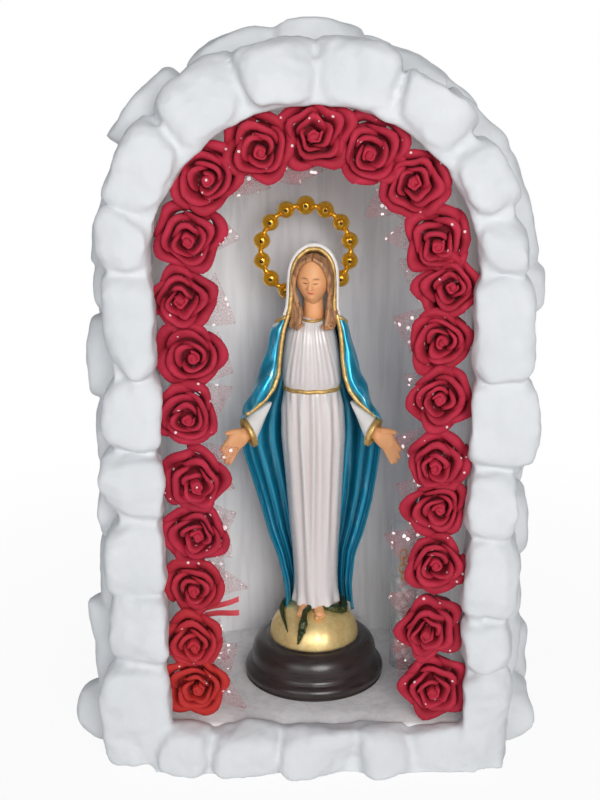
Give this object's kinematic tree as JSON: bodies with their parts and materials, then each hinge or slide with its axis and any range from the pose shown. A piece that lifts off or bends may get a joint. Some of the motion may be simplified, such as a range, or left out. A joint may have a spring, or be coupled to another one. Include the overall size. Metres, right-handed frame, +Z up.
{
  "type": "tabletop grotto shrine",
  "caption": "Small tabletop shrine: a plastered stone arch round a niche with a painted statue, a border of red foam roses and net, and a bead halo.",
  "frame": {"origin": "centre of the footprint on the flat underside", "axes": "+Z up, -Y out of the niche towards the viewer, +X to the viewer's right"},
  "size_m": [0.2113, 0.118, 0.3159],
  "materials": {
    "plaster": "matt white plaster",
    "niche_paint": "brushed grey white paint on plaster",
    "foam_rose": "matt crimson foam",
    "red_net": "sheer net with glitter dots",
    "dark_wood": "dark brown semi-gloss lacquer",
    "gold_paint": "metallic gold paint",
    "pearl_robe": "pearl white paint",
    "teal_mantle": "metallic teal paint with brushed highlights",
    "skin": "matt painted skin tone",
    "hair_brown": "painted light brown",
    "white_veil": "satin white paint",
    "serpent_green": "dark green and gold paint",
    "gold_chrome": "gold chrome plastic",
    "clear_plastic": "clear polished plastic",
    "pearl_bead": "pearl white plastic"
  },
  "bodies": {
    "root": {"niche_floor": "plaster", "left_wall": "niche_paint", "right_wall": "niche_paint", "back_wall": "niche_paint", "vault": "niche_paint", "front_stones_left": "plaster", "front_stones_arch": "plaster", "front_stones_right": "plaster", "side_stones_left": "plaster", "side_stones_right": "plaster", "crown_stones": "plaster", "skirt_stones": "plaster", "sill_stones": "plaster", "roses_left": "foam_rose", "roses_arch": "foam_rose", "roses_right": "foam_rose", "net_left": "red_net", "net_arch": "red_net", "net_right": "red_net", "ribbon_end": "red_net", "plinth": "dark_wood", "globe": "gold_paint", "serpent": "serpent_green", "feet": "skin", "robe": "pearl_robe", "belt": "gold_paint", "neckband": "gold_paint", "mantle_back": "teal_mantle", "mantle_left": "teal_mantle", "mantle_right": "teal_mantle", "mantle_trim": "gold_paint", "sleeves": "white_veil", "cuffs": "gold_paint", "hands": "skin", "head": "skin", "hair": "hair_brown", "veil": "white_veil", "veil_trim": "gold_paint", "bead_halo": "gold_chrome", "votive_tube": "clear_plastic", "votive_pearls": "pearl_bead"}
  },
  "joints": []
}
